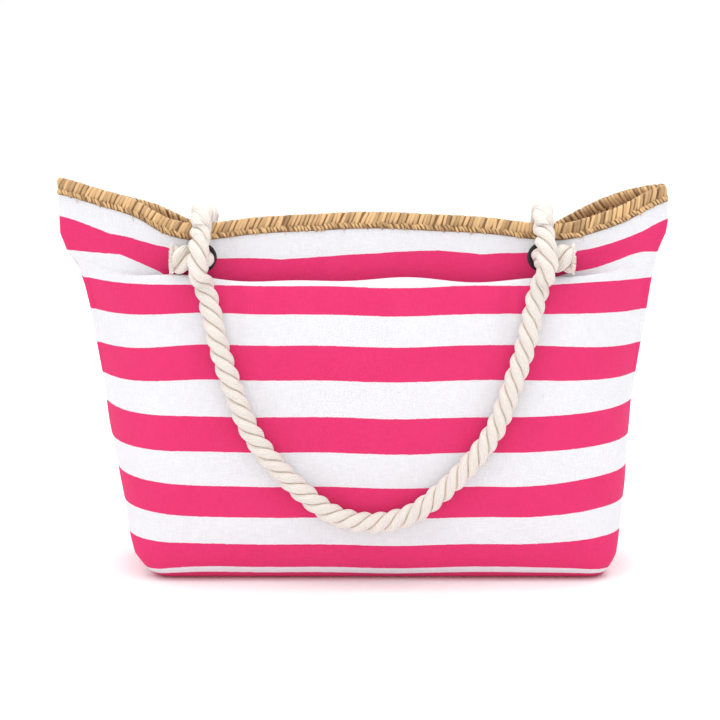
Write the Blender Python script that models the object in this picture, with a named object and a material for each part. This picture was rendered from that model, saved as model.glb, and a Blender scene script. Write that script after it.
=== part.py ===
"""Beach bag: striped canvas walls over a lining and a stiff base, a straw braid round the mouth,
and two rope handles through four metal eyelets. Metres, +X across the bag, +Z up, front at -Y."""

import math

import bmesh
import bpy
from mathutils import Matrix, Vector

# Cloth
CANVAS_T = 0.0012
LINING_T = 0.0008
LAYER_GAP = 0.0003
SEAM_GAP = 0.0003
WALL_T = CANVAS_T + LAYER_GAP + LINING_T

# How the filled wall stands: height at the middle, and depth from the seam plane at the front and the back
WALL_PROFILE = (
    (0.0000, 0.0510, 0.0510),
    (0.0040, 0.0590, 0.0590),
    (0.0140, 0.0680, 0.0680),
    (0.0320, 0.0745, 0.0745),
    (0.0650, 0.0770, 0.0770),
    (0.1050, 0.0765, 0.0750),
    (0.1500, 0.0740, 0.0700),
    (0.1900, 0.0700, 0.0645),
    (0.2250, 0.0640, 0.0570),
    (0.2480, 0.0560, 0.0500),
    (0.2600, 0.0440, 0.0460),
    (0.2670, 0.0350, 0.0438),
    (0.2710, 0.0330, 0.0420),
    (0.3125, 0.0308, 0.0353),
    (0.3265, 0.0300, 0.0330),
)
LINING_FIRST_ROW = 1
FOLD_Z = 0.2480
CENTRE_EDGE_Z = 0.3265
# Half the width of the bag at a height
WIDTH_PROFILE = (
    (0.000, 0.202),
    (0.012, 0.212),
    (0.050, 0.224),
    (0.100, 0.230),
    (0.160, 0.237),
    (0.220, 0.246),
    (0.270, 0.256),
    (0.300, 0.263),
    (0.3265, 0.268),
)
BASE_CORNER_R = 0.048
MOUTH_CORNER_R = 0.0055
MOUTH_CURVE_POWER = 5
BOX_ENDS_Z = 0.060
LENS_STARTS_Z = 0.268
# Columns of a panel, as the way round from the side seam to the middle
COLUMN_STOPS = (
    (0, 0.003, 0.006, 0.009, 0.018, 0.034, 0.050, 0.068)
    + (0.090, 0.104, 0.118, 0.132, 0.146, 0.175, 0.220, 0.265)
)

# Fabric edge under the braid
CORNER_EDGE_Z = 0.3445
EDGE_SOFTNESS = 0.028
SIDE_LIFT = 0.006
BRAID_T = 0.0022
BRAID_DROP = 0.0130
BRAID_CHAMFER = 0.0012

# Base
BOARD_T = 0.0025
SIDE_CLEARANCE = 0.0022

# Rope handles: x of the two legs, the fabric edge under each, the fabric edge at the middle,
# and the height above which the wall follows those dips
ROPE_R = 0.0090
HANDLES = {
    "front": {
        "sign": -1,
        "legs": (-0.142, 0.158),
        "edges": (0.3105, 0.3105),
        "middle": 0.3265,
        "sag_z": 0.248,
    },
    "back": {
        "sign": 1,
        "legs": (-0.140, 0.137),
        "edges": (0.2990, 0.2810),
        "middle": 0.3020,
        "sag_z": 0.190,
    },
}
ROPE_SIDES = 8
ROPE_CLEARANCE = 0.0013
BIGHT_R = 0.0142
AXIS_ABOVE_EDGE = 0.0005
HOLE_DROP = 0.0270
HOLE_RUN = 0.0036
TAIL_LENGTH = 0.0150
TAIL_END_R = 0.0118
CUT_GAP = 0.0003
STRAIGHT_RUN = 0.0060
LOOP_LOW_Z = 0.060
# How a hanging loop lies: (share of the way from one leg to the other, share of the drop still to go)
LOOP_ROUTE = (
    (0.020, 0.874),
    (0.055, 0.684),
    (0.100, 0.508),
    (0.145, 0.362),
    (0.215, 0.234),
    (0.300, 0.119),
    (0.390, 0.031),
    (0.500, 0.000),
)
# How a leg passes over its own tail: how far out from the hole, and how far it has swung out half way down
LEG_OVER_TAIL = 0.0346
LEG_BULGE = 0.0035
LOOP_POINTS = 48
CLOUD_STEP = 0.003
CLOUD_COLUMNS = 90
CLOUD_FIRST_COLUMN = 30
CURVE_STEPS = 12
SOFT_STEPS = 5
PROBE = 0.008

# Eyelets
EYELET_BORE_R = 0.0094
EYELET_BARREL_T = 0.0007
EYELET_FLANGE_R = 0.0135
EYELET_EDGE_SLOPE = 0.0004
EYELET_SEAT_GAP = 0.0009
WASHER_BORE_R = 0.0105
HOLE_R = 0.0106
CURL_R = 0.0114
EYELET_STEPS = 20


def clear_scene():
    for item in list(bpy.data.objects):
        bpy.data.objects.remove(item, do_unlink=True)


def material(name, colour, roughness, metallic=0.0):
    made = bpy.data.materials.new(name)
    made.use_nodes = True
    shader = made.node_tree.nodes["Principled BSDF"]
    shader.inputs["Base Color"].default_value = (*colour, 1.0)
    shader.inputs["Roughness"].default_value = roughness
    shader.inputs["Metallic"].default_value = metallic
    return made


def striped_canvas_material():
    return material("striped_canvas", (0.85, 0.12, 0.30), 0.9)


def lining_material():
    return material("pink_lining", (0.45, 0.03, 0.16), 0.85)


def straw_material():
    return material("straw_braid", (0.60, 0.38, 0.15), 0.8)


def rope_material():
    return material("cotton_rope", (0.90, 0.86, 0.78), 0.9)


def eyelet_material():
    return material("dark_metal", (0.05, 0.05, 0.06), 0.35, 1.0)


def board_material():
    return material("grey_board", (0.35, 0.33, 0.30), 0.9)


def node(name, bm, look):
    bmesh.ops.recalc_face_normals(bm, faces=bm.faces)
    mesh = bpy.data.meshes.new(name)
    bm.to_mesh(mesh)
    bm.free()
    made = bpy.data.objects.new(name, mesh)
    made.data.materials.append(look)
    bpy.context.scene.collection.objects.link(made)
    return made


def between(table, at):
    """The value at a height, read off straight lines between (height, value) pairs."""
    if at <= table[0][0]:
        return table[0][1]
    for (low, first), (high, second) in zip(table, table[1:]):
        if at <= high:
            return first + (second - first) * (at - low) / (high - low)
    return table[-1][1]


def smoothstep(low, high, at):
    share = min(1.0, max(0.0, (at - low) / (high - low)))
    return share * share * (3.0 - 2.0 * share)


def edge_height(side, x):
    """Height of the fabric edge, pulled down where the handles hang, its bends softened."""
    half = WIDTH_PROFILE[-1][1]
    handle = HANDLES[side]
    table = (
        (-half, CORNER_EDGE_Z),
        (handle["legs"][0], handle["edges"][0]),
        (0.5 * sum(handle["legs"]), handle["middle"]),
        (handle["legs"][1], handle["edges"][1]),
        (half, CORNER_EDGE_Z),
    )
    steps = range(-SOFT_STEPS, SOFT_STEPS + 1)
    total = sum(between(table, x + EDGE_SOFTNESS * step / SOFT_STEPS) for step in steps)
    softened = total / len(steps)
    near_corner = smoothstep(half - 2.0 * EDGE_SOFTNESS, half - EDGE_SOFTNESS, abs(x))
    return softened + (between(table, x) - softened) * near_corner


def box_point(half_width, depth, way):
    """A point of a half section with square sides, by the way round from the seam."""
    side_run = depth - BASE_CORNER_R
    arc_run = 0.5 * math.pi * BASE_CORNER_R
    if way < side_run:
        return half_width, way
    if way < side_run + arc_run:
        angle = (way - side_run) / BASE_CORNER_R
        return (
            half_width - BASE_CORNER_R * (1.0 - math.cos(angle)),
            side_run + BASE_CORNER_R * math.sin(angle),
        )
    return half_width - BASE_CORNER_R - (way - side_run - arc_run), depth


def lens_point(half_width, depth, way):
    """A point of a half section that comes together at the sides, by the way round from the seam."""
    arc_run = 0.5 * math.pi * MOUTH_CORNER_R
    if way < arc_run:
        angle = way / MOUTH_CORNER_R
        return (
            half_width - MOUTH_CORNER_R * (1.0 - math.cos(angle)),
            MOUTH_CORNER_R * math.sin(angle),
        )
    reach = half_width - MOUTH_CORNER_R
    x = reach - (way - arc_run)
    return x, MOUTH_CORNER_R + (depth - MOUTH_CORNER_R) * (1.0 - (x / reach) ** MOUTH_CURVE_POWER)


def row_height(side, height, x):
    """Height of a row at x: raised towards the bag's corners, let down where the handles pull."""
    corner_band = max(0.0, (height - FOLD_Z) / (CENTRE_EDGE_Z - FOLD_Z))
    sag_z = HANDLES[side]["sag_z"]
    sag_band = max(0.0, (height - sag_z) / (CENTRE_EDGE_Z - sag_z))
    raised = height + corner_band * (CORNER_EDGE_Z - CENTRE_EDGE_Z)
    return raised - sag_band * (CORNER_EDGE_Z - edge_height(side, x))


def wall_point(side, row, share, mirror):
    """A point of the outer face, a share of the way from the seam (0) to the middle (1) along a row."""
    height = row[0]
    depth = row[1] if side == "front" else row[2]
    half_width = between(WIDTH_PROFILE, height)
    box_length = depth - 2.0 * BASE_CORNER_R + 0.5 * math.pi * BASE_CORNER_R + half_width
    lens_length = half_width - MOUTH_CORNER_R + 0.5 * math.pi * MOUTH_CORNER_R
    blend = smoothstep(BOX_ENDS_Z, LENS_STARTS_Z, height)
    lens = lens_point(half_width, depth, share * lens_length)
    box = box_point(half_width, depth, share * box_length) if blend < 1.0 else lens
    x, y = (b + (c - b) * blend for b, c in zip(box, lens))
    x = max(0.0, x) * mirror
    y = max(y, 0.5 * SEAM_GAP)
    lift = SIDE_LIFT * (1.0 - share) ** 2 * smoothstep(0.0, BOX_ENDS_Z, height)
    return Vector((x, HANDLES[side]["sign"] * y, row_height(side, height, x) + lift))


def column_shares():
    """(share, mirror) for every column of a panel, from the left seam to the right one."""
    whole = COLUMN_STOPS[-1]
    left = [(stop / whole, -1) for stop in COLUMN_STOPS]
    right = [(stop / whole, 1) for stop in reversed(COLUMN_STOPS[:-1])]
    return left + right


def wall_grid(side):
    return [[wall_point(side, row, *column) for column in column_shares()] for row in WALL_PROFILE]


def wall_normals(grid, side):
    """Outward normals of a grid; those at the side seams lie in the seam plane."""
    sign = HANDLES[side]["sign"]
    last_row, last_column = len(grid) - 1, len(grid[0]) - 1
    normals = []
    for i in range(len(grid)):
        line = []
        for j in range(len(grid[0])):
            up = grid[min(i + 1, last_row)][j] - grid[max(i - 1, 0)][j]
            along = grid[i][min(j + 1, last_column)] - grid[i][max(j - 1, 0)]
            normal = up.cross(along) * sign
            if j in (0, last_column):
                outward = -1.0 if j == 0 else 1.0
                normal = Vector((outward * up.length, 0.0, -outward * up.x * up.length / up.z))
            line.append(normal.normalized())
        normals.append(line)
    return normals


def offset_grid(grid, normals, distance):
    return [[p + n * distance for p, n in zip(points, ns)] for points, ns in zip(grid, normals)]


def shell_mesh(outer, inner):
    """A closed sheet between two grids of the same size."""
    bm = bmesh.new()
    faces = [[[bm.verts.new(p) for p in line] for line in grid] for grid in (outer, inner)]
    rows, columns = len(outer), len(outer[0])
    for grid in faces:
        for i in range(rows - 1):
            for j in range(columns - 1):
                bm.faces.new((grid[i][j], grid[i][j + 1], grid[i + 1][j + 1], grid[i + 1][j]))
    rim = [(0, j) for j in range(columns)]
    rim += [(i, columns - 1) for i in range(1, rows)]
    rim += [(rows - 1, j) for j in range(columns - 2, -1, -1)]
    rim += [(i, 0) for i in range(rows - 2, 0, -1)]
    for (a, b), (c, d) in zip(rim, rim[1:] + rim[:1]):
        bm.faces.new((faces[0][a][b], faces[0][c][d], faces[1][c][d], faces[1][a][b]))
    return bm


def sweep_mesh(sections, closed):
    """A body through rings of points: closed into a ring, or capped at its two ends."""
    bm = bmesh.new()
    rings = [[bm.verts.new(p) for p in section] for section in sections]
    pairs = list(zip(rings, rings[1:] + rings[:1])) if closed else list(zip(rings, rings[1:]))
    for first, second in pairs:
        for k in range(len(first)):
            following = (k + 1) % len(first)
            bm.faces.new((first[k], first[following], second[following], second[k]))
    if not closed:
        bm.faces.new(rings[0])
        bm.faces.new(rings[-1])
    return bm


def wall_panel(side, name, look, start, thickness, first_row=0):
    """One sheet of cloth, its outer face this far inside the outside of the bag."""
    grid = wall_grid(side)[first_row:]
    normals = wall_normals(grid, side)
    bm = shell_mesh(offset_grid(grid, normals, -start), offset_grid(grid, normals, -start - thickness))
    panel = node(name, bm, look)
    for leg in (0, 1):
        pierce(panel, side, leg)
    return panel


def wall_at(side, x, drop):
    """Middle of the wall's thickness and its outward direction, a given drop below the fabric edge."""
    sign = HANDLES[side]["sign"]
    z = edge_height(side, x) - drop
    lean = (wall_depth(side, x, z + PROBE) - wall_depth(side, x, z - PROBE)) / (2.0 * PROBE)
    swing = (wall_depth(side, x + PROBE, z) - wall_depth(side, x - PROBE, z)) / (2.0 * PROBE)
    normal = Vector((-swing, sign, -lean)).normalized()
    return Vector((x, sign * wall_depth(side, x, z), z)) - normal * (0.5 * WALL_T), normal


def wall_depth(side, x, z):
    """Depth of the outer face in the nearly straight band above the fold."""
    ends = []
    for row in (WALL_PROFILE[-3], WALL_PROFILE[-1]):
        reach = between(WIDTH_PROFILE, row[0]) - MOUTH_CORNER_R
        curve = 1.0 - (abs(x) / reach) ** MOUTH_CURVE_POWER
        depth = row[1] if side == "front" else row[2]
        ends.append((row_height(side, row[0], x), MOUTH_CORNER_R + (depth - MOUTH_CORNER_R) * curve))
    (low, low_depth), (high, high_depth) = ends
    return low_depth + (high_depth - low_depth) * (z - low) / (high - low)


def hole_frame(side, leg):
    """Centre of an eyelet hole in the middle of the wall, and the way out."""
    return wall_at(side, HANDLES[side]["legs"][leg], HOLE_DROP - AXIS_ABOVE_EDGE)


def revolved_mesh(profile, centre, axis, steps):
    """A ring-shaped body: profile is (radius, distance along the axis) round its section."""
    turn = axis.to_track_quat("Z", "Y").to_matrix()
    sections = []
    for step in range(steps):
        angle = 2.0 * math.pi * step / steps
        around = Vector((math.cos(angle), math.sin(angle), 0.0))
        sections.append([centre + turn @ (around * r + Vector((0.0, 0.0, a))) for r, a in profile])
    return sweep_mesh(sections, True)


def pierce(panel, side, leg):
    """Cuts one eyelet hole through a panel."""
    centre, normal = hole_frame(side, leg)
    turn = normal.to_track_quat("Z", "Y").to_matrix()
    reach = 4.0 * WALL_T
    rings = []
    for along in (-reach, reach):
        ring = []
        for step in range(EYELET_STEPS):
            angle = 2.0 * math.pi * step / EYELET_STEPS
            around = Vector((math.cos(angle) * HOLE_R, math.sin(angle) * HOLE_R, along))
            ring.append(centre + turn @ around)
        rings.append(ring)
    cutter = node(f"{panel.name}_hole_{leg}", sweep_mesh(rings, False), panel.data.materials[0])
    cutter.hide_render = True
    cutter.display_type = "WIRE"
    cut = panel.modifiers.new("hole", "BOOLEAN")
    cut.operation = "DIFFERENCE"
    cut.solver = "EXACT"
    cut.object = cutter


def eyelet(side, leg, name, look):
    """Barrel with its front flange and the curled end behind the washer."""
    centre, normal = hole_frame(side, leg)
    barrel_r = EYELET_BORE_R + EYELET_BARREL_T
    seat = 0.5 * WALL_T + EYELET_SEAT_GAP
    back = -seat - EYELET_BARREL_T - LAYER_GAP
    profile = (
        (EYELET_BORE_R, back - EYELET_BARREL_T),
        (CURL_R, back - EYELET_BARREL_T),
        (CURL_R, back),
        (barrel_r, back),
        (barrel_r, seat),
        (EYELET_FLANGE_R, seat),
        (EYELET_FLANGE_R - EYELET_EDGE_SLOPE, seat + EYELET_BARREL_T),
        (EYELET_BORE_R, seat + EYELET_BARREL_T),
    )
    return node(name, revolved_mesh(profile, centre, normal, EYELET_STEPS), look)


def washer(side, leg, name, look):
    centre, normal = hole_frame(side, leg)
    seat = -0.5 * WALL_T - EYELET_SEAT_GAP
    profile = (
        (WASHER_BORE_R, seat - EYELET_BARREL_T),
        (EYELET_FLANGE_R, seat - EYELET_BARREL_T),
        (EYELET_FLANGE_R, seat),
        (WASHER_BORE_R, seat),
    )
    return node(name, revolved_mesh(profile, centre, normal, EYELET_STEPS), look)


def braid_section(low, top, normal):
    """The folded braid across the fabric edge, from points of the outer face and its normal."""
    up = (top - low).normalized()
    outside = LAYER_GAP + BRAID_T
    inside = -WALL_T - LAYER_GAP - BRAID_T
    crown = LAYER_GAP + BRAID_T
    foot = low - top
    return [
        top + foot + normal * outside,
        top + up * (crown - BRAID_CHAMFER) + normal * outside,
        top + up * crown + normal * (outside - BRAID_CHAMFER),
        top + up * crown + normal * (inside + BRAID_CHAMFER),
        top + up * (crown - BRAID_CHAMFER) + normal * inside,
        top + foot + normal * inside,
        top + foot - normal * (WALL_T + LAYER_GAP),
        top + up * LAYER_GAP - normal * (WALL_T + LAYER_GAP),
        top + up * LAYER_GAP + normal * LAYER_GAP,
        top + foot + normal * LAYER_GAP,
    ]


def braid_rim(look):
    """The straw braid, folded over the fabric edge all the way round the mouth."""
    sections = []
    for side, order in (("front", 1), ("back", -1)):
        rows = wall_grid(side)[-2:]
        normals = wall_normals(rows, side)[-1]
        for j in range(len(rows[0]))[::order]:
            low, top = rows[0][j], rows[1][j]
            low = top + (low - top).normalized() * BRAID_DROP
            sections.append(braid_section(low, top, normals[j]))
    return node("straw_braid_rim", sweep_mesh(sections, True), look)


def base_outline(inset):
    """Outline of the bag at the floor, drawn in by inset."""
    row = WALL_PROFILE[0]
    around = [wall_point("front", row, *column) for column in column_shares()]
    around += [wall_point("back", row, *column) for column in reversed(column_shares())]
    outline = []
    for k, point in enumerate(around):
        along = around[(k + 1) % len(around)] - around[k - 1]
        inward = Vector((-along.y, along.x, 0.0)).normalized()
        outline.append(point + inward * inset)
    return outline


def base_sheet(name, look, inset, low, thickness):
    """A flat piece that lies in the base."""
    outline = base_outline(inset)
    rings = [[Vector((p.x, p.y, z)) for p in outline] for z in (low, low + thickness)]
    return node(name, sweep_mesh(rings, False), look)


def tube(name, path, radii, look, level_cuts=()):
    """A round rope through a path, with flat cut ends; level_cuts lists the points whose cut is level."""
    sections = []
    side = Vector((1.0, 0.2, 0.1))
    for k, point in enumerate(path):
        along = (path[min(k + 1, len(path) - 1)] - path[max(k - 1, 0)]).normalized()
        if k in level_cuts:
            along = Vector((0.0, 0.0, math.copysign(1.0, along.z)))
        side = (side - along * side.dot(along)).normalized()
        other = along.cross(side)
        ring = []
        for step in range(ROPE_SIDES):
            angle = 2.0 * math.pi * step / ROPE_SIDES
            ring.append(point + (side * math.cos(angle) + other * math.sin(angle)) * radii[k])
        sections.append(ring)
    return node(name, sweep_mesh(sections, False), look)


def curve_through(points, count):
    """Points evenly spread along a smooth curve through the given ones."""
    fine = []
    for k in range(len(points) - 1):
        before = points[max(k - 1, 0)]
        after = points[min(k + 2, len(points) - 1)]
        start, end = points[k], points[k + 1]
        for step in range(CURVE_STEPS):
            t = step / CURVE_STEPS
            fine.append(
                0.5
                * (
                    2.0 * start
                    + (end - before) * t
                    + (2.0 * before - 5.0 * start + 4.0 * end - after) * t * t
                    + (3.0 * start - before - 3.0 * end + after) * t * t * t
                )
            )
    fine.append(points[-1])
    lengths = [0.0]
    for first, second in zip(fine, fine[1:]):
        lengths.append(lengths[-1] + (second - first).length)
    spread = []
    at = 0
    for k in range(count):
        goal = lengths[-1] * k / (count - 1)
        while at < len(fine) - 2 and lengths[at + 1] < goal:
            at += 1
        share = (goal - lengths[at]) / max(lengths[at + 1] - lengths[at], 1e-9)
        spread.append(fine[at].lerp(fine[at + 1], min(1.0, share)))
    return spread


def leg_frame(side, leg):
    """A leg's centre on the hinge axis, the way out of the bag, and the way towards the bag's side."""
    edge, normal = wall_at(side, HANDLES[side]["legs"][leg], 0.0)
    out = Vector((0.0, HANDLES[side]["sign"], 0.0))
    outer_side = Vector((-1.0 if leg == 0 else 1.0, 0.0, 0.0))
    return edge + Vector((0.0, 0.0, AXIS_ABOVE_EDGE)), out, outer_side


def leg_route(side, leg):
    """Points of a swinging leg from the axis down to where it has passed over its own tail."""
    hole, through = hole_frame(side, leg)
    centre, out, _ = leg_frame(side, leg)
    up = Vector((0.0, 0.0, 1.0))
    start = centre + out * BIGHT_R - up * CUT_GAP
    over = hole + through * LEG_OVER_TAIL
    half_way = start.lerp(over, 0.5) + (out + up).normalized() * LEG_BULGE
    return [start, half_way, over, over - up * ROPE_R]


def rope_end(side, leg, name, look):
    """From the axis down inside the bag, out through the eyelet and round to the cut, flared tail."""
    hole, through = hole_frame(side, leg)
    centre, out, outer_side = leg_frame(side, leg)
    up = Vector((0.0, 0.0, 1.0))
    climb = (up - through * up.dot(through)).normalized()
    turn_r = BIGHT_R - HOLE_RUN
    inner_centre = hole - through * HOLE_RUN + climb * turn_r
    outer_centre = hole + through * HOLE_RUN + outer_side * turn_r
    start = centre - out * BIGHT_R - up * CUT_GAP
    path = [start, start - up * STRAIGHT_RUN]
    radii = [ROPE_R, ROPE_R]
    for step in range(5):
        angle = 0.5 * math.pi * step / 4.0
        reach = through * math.cos(angle) + climb * math.sin(angle)
        path.append(inner_centre - reach * turn_r)
        radii.append(ROPE_R)
    for step in range(5):
        angle = 0.5 * math.pi * step / 4.0
        reach = through * math.sin(angle) - outer_side * math.cos(angle)
        path.append(outer_centre + reach * turn_r)
        radii.append(ROPE_R)
    for share in (0.6, 1.0):
        path.append(outer_centre + through * turn_r + outer_side * TAIL_LENGTH * share)
        radii.append(ROPE_R + (TAIL_END_R - ROPE_R) * share)
    return tube(name, path, radii, look, (0,))


def bight(side, leg, name, look):
    """The half turn of rope over the braid."""
    centre, out, _ = leg_frame(side, leg)
    path = []
    for step in range(9):
        angle = math.pi * step / 8.0
        reach = out * -math.cos(angle) + Vector((0.0, 0.0, math.sin(angle)))
        path.append(centre + reach * BIGHT_R)
    return tube(name, path, [ROPE_R] * len(path), look, (0, len(path) - 1))


def dense_wall(side):
    """Points of the outer face close enough together to rest a rope on."""
    rows = []
    for low, high in zip(WALL_PROFILE, WALL_PROFILE[1:]):
        steps = max(1, round((high[0] - low[0]) / CLOUD_STEP))
        for step in range(steps):
            t = step / steps
            rows.append(tuple(a + (b - a) * t for a, b in zip(low, high)))
    points = []
    for row in rows:
        for step in range(CLOUD_FIRST_COLUMN, CLOUD_COLUMNS + 1):
            for mirror in (-1, 1):
                points.append(wall_point(side, row, step / CLOUD_COLUMNS, mirror))
    return points


def resting_depth(cloud, x, z, reach):
    """How far out a ball of radius reach sits when it touches the wall at that place."""
    best = 0.0
    for point in cloud:
        dx, dz = point.x - x, point.z - z
        if abs(dx) < reach and abs(dz) < reach:
            room = reach * reach - dx * dx - dz * dz
            if room > 0.0:
                best = max(best, abs(point.y) + math.sqrt(room))
    return best


def handle_loop(side, name, look):
    """The part of the rope that swings, from the front of one bight to the front of the other."""
    sign = HANDLES[side]["sign"]
    first, last = HANDLES[side]["legs"]
    span = last - first
    cloud = dense_wall(side)
    reach = ROPE_R + ROPE_CLEARANCE
    hanging = []
    for leg, route in ((0, LOOP_ROUTE), (1, LOOP_ROUTE[-2::-1])):
        drop = hole_frame(side, leg)[0].z - LOOP_LOW_Z
        for share, left_to_go in route:
            x = first + span * (share if leg == 0 else 1.0 - share)
            z = LOOP_LOW_Z + drop * left_to_go
            hanging.append(Vector((x, sign * resting_depth(cloud, x, z, reach), z)))
    path = curve_through(leg_route(side, 0) + hanging + leg_route(side, 1)[::-1], LOOP_POINTS)
    for k in range(3, len(path) - 3):
        resting = resting_depth(cloud, path[k].x, path[k].z, reach)
        path[k].y = sign * max(abs(path[k].y), resting)
    return tube(name, path, [ROPE_R] * len(path), look, (0, len(path) - 1))


def hinge_mount(side):
    """An empty on the line through the two bights, for the loop to turn about."""
    left, _, _ = leg_frame(side, 0)
    right, _, _ = leg_frame(side, 1)
    mount = bpy.data.objects.new(f"{side}_handle_axis", None)
    mount.matrix_world = Matrix.Translation((left + right) * 0.5)
    bpy.context.scene.collection.objects.link(mount)
    return mount


def build_walls():
    canvas, lining = striped_canvas_material(), lining_material()
    lining_start = CANVAS_T + LAYER_GAP
    for side in HANDLES:
        wall_panel(side, f"{side}_canvas", canvas, 0.0, CANVAS_T)
        wall_panel(side, f"{side}_lining", lining, lining_start, LINING_T, LINING_FIRST_ROW)
    canvas_top = CANVAS_T + LAYER_GAP
    board_top = canvas_top + BOARD_T + LAYER_GAP
    base_sheet("base_canvas", canvas, SIDE_CLEARANCE, 0.0, CANVAS_T)
    base_sheet("base_board", board_material(), SIDE_CLEARANCE, canvas_top, BOARD_T)
    base_sheet("base_lining", lining, SIDE_CLEARANCE, board_top, LINING_T)


def build_handles():
    rope, metal = rope_material(), eyelet_material()
    for side in HANDLES:
        for leg, hand in ((0, "left"), (1, "right")):
            eyelet(side, leg, f"{side}_{hand}_eyelet", metal)
            washer(side, leg, f"{side}_{hand}_washer", metal)
            rope_end(side, leg, f"{side}_{hand}_rope_end", rope)
            bight(side, leg, f"{side}_{hand}_rope_bight", rope)
        mount = hinge_mount(side)
        loop = handle_loop(side, f"{side}_rope_handle", rope)
        loop.parent = mount
        loop.matrix_parent_inverse = mount.matrix_world.inverted()


def main():
    clear_scene()
    build_walls()
    braid_rim(straw_material())
    build_handles()


main()
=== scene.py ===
"""Looks of the beach bag: striped canvas, pink lining, plaited straw rim, laid cotton rope handles
and dark eyelets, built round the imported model. Metres, front at -Y, +Z up."""

import math

import bmesh
import bpy
import numpy as np
from mathutils import Matrix, Vector


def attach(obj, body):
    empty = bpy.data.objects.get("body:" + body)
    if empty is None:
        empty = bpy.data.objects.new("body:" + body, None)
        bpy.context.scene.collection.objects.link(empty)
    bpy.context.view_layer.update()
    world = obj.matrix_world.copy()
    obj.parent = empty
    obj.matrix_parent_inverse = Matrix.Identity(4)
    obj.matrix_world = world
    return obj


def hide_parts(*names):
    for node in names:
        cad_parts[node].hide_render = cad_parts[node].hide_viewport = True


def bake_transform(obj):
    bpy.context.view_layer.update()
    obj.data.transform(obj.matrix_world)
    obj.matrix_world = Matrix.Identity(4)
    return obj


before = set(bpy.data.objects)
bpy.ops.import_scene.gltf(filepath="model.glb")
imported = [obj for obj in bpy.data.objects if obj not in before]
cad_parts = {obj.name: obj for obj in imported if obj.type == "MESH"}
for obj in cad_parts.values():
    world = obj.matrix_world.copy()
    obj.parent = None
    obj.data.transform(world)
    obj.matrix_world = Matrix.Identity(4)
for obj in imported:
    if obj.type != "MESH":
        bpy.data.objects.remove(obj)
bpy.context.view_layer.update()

# The part's own dimensions, repeated
CANVAS_T = 0.0012
LINING_T = 0.0008
LAYER_GAP = 0.0003
WALL_T = CANVAS_T + LAYER_GAP + LINING_T
CENTRE_EDGE_Z = 0.3265
CORNER_EDGE_Z = 0.3445
FOLD_Z = 0.2480
EDGE_SOFTNESS = 0.028
SIDE_LIFT = 0.006
BASE_CORNER_R = 0.048
MOUTH_CORNER_R = 0.0055
MOUTH_CURVE_POWER = 5
BOX_ENDS_Z = 0.060
LENS_STARTS_Z = 0.268
BRAID_DROP = 0.0130
ROPE_R = 0.0090
BIGHT_R = 0.0142
AXIS_ABOVE_EDGE = 0.0005
HOLE_DROP = 0.0270
HOLE_RUN = 0.0036
TAIL_LENGTH = 0.0150
TAIL_END_R = 0.0130
LEG_OVER_TAIL = 0.0346
LEG_BULGE = 0.0035
LOOP_LOW_Z = 0.060
HOLE_R = 0.0106
EYELET_BORE_R = 0.0094
CURL_R = 0.0114
BOARD_T = 0.0025
# (height, front depth, back depth) of the CAD wall at the middle
WALL_PROFILE = (
    (0.0000, 0.0510, 0.0510),
    (0.0040, 0.0590, 0.0590),
    (0.0140, 0.0680, 0.0680),
    (0.0320, 0.0745, 0.0745),
    (0.0650, 0.0770, 0.0770),
    (0.1050, 0.0765, 0.0750),
    (0.1500, 0.0740, 0.0700),
    (0.1900, 0.0700, 0.0645),
    (0.2250, 0.0640, 0.0570),
    (0.2480, 0.0560, 0.0500),
    (0.2600, 0.0440, 0.0460),
    (0.2670, 0.0350, 0.0438),
    (0.2710, 0.0330, 0.0420),
    (0.3125, 0.0308, 0.0353),
    (0.3265, 0.0300, 0.0330),
)
CAD_WIDTH = (
    (0.000, 0.202), (0.012, 0.212), (0.050, 0.224), (0.100, 0.230), (0.160, 0.237), (0.220, 0.246),
    (0.270, 0.256), (0.300, 0.263), (0.3265, 0.268),
)
HANDLES = {
    "front": {
        "sign": -1, "legs": (-0.142, 0.158), "edges": (0.3105, 0.3105), "middle": 0.3265, "sag_z": 0.248
    },
    "back": {
        "sign": 1, "legs": (-0.140, 0.137), "edges": (0.2990, 0.2810), "middle": 0.3020, "sag_z": 0.190
    },
}
LOOP_ROUTE = (
    (0.020, 0.874), (0.055, 0.684), (0.100, 0.508), (0.145, 0.362), (0.215, 0.234), (0.300, 0.119),
    (0.390, 0.031), (0.500, 0.000),
)

# How the two side seams of the standing bag run: (height, half width)
SIDE_RUN = {
    -1: (
        (0.000, 0.187), (0.008, 0.194), (0.022, 0.205), (0.043, 0.2125), (0.070, 0.2180), (0.107, 0.2250),
        (0.134, 0.2300), (0.170, 0.2340), (0.206, 0.2400), (0.242, 0.2455), (0.2605, 0.2495),
        (0.277, 0.2550), (0.287, 0.2640), (0.304, 0.2705), (0.330, 0.2710), (0.3505, 0.2695),
    ),
    1: (
        (0.000, 0.2165), (0.021, 0.2275), (0.052, 0.2345), (0.080, 0.2375), (0.116, 0.2402),
        (0.152, 0.2425), (0.188, 0.2475), (0.224, 0.2530), (0.2605, 0.2580), (0.288, 0.2635),
        (0.305, 0.2705), (0.315, 0.2720), (0.330, 0.2710), (0.3505, 0.2665),
    ),
}

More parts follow.
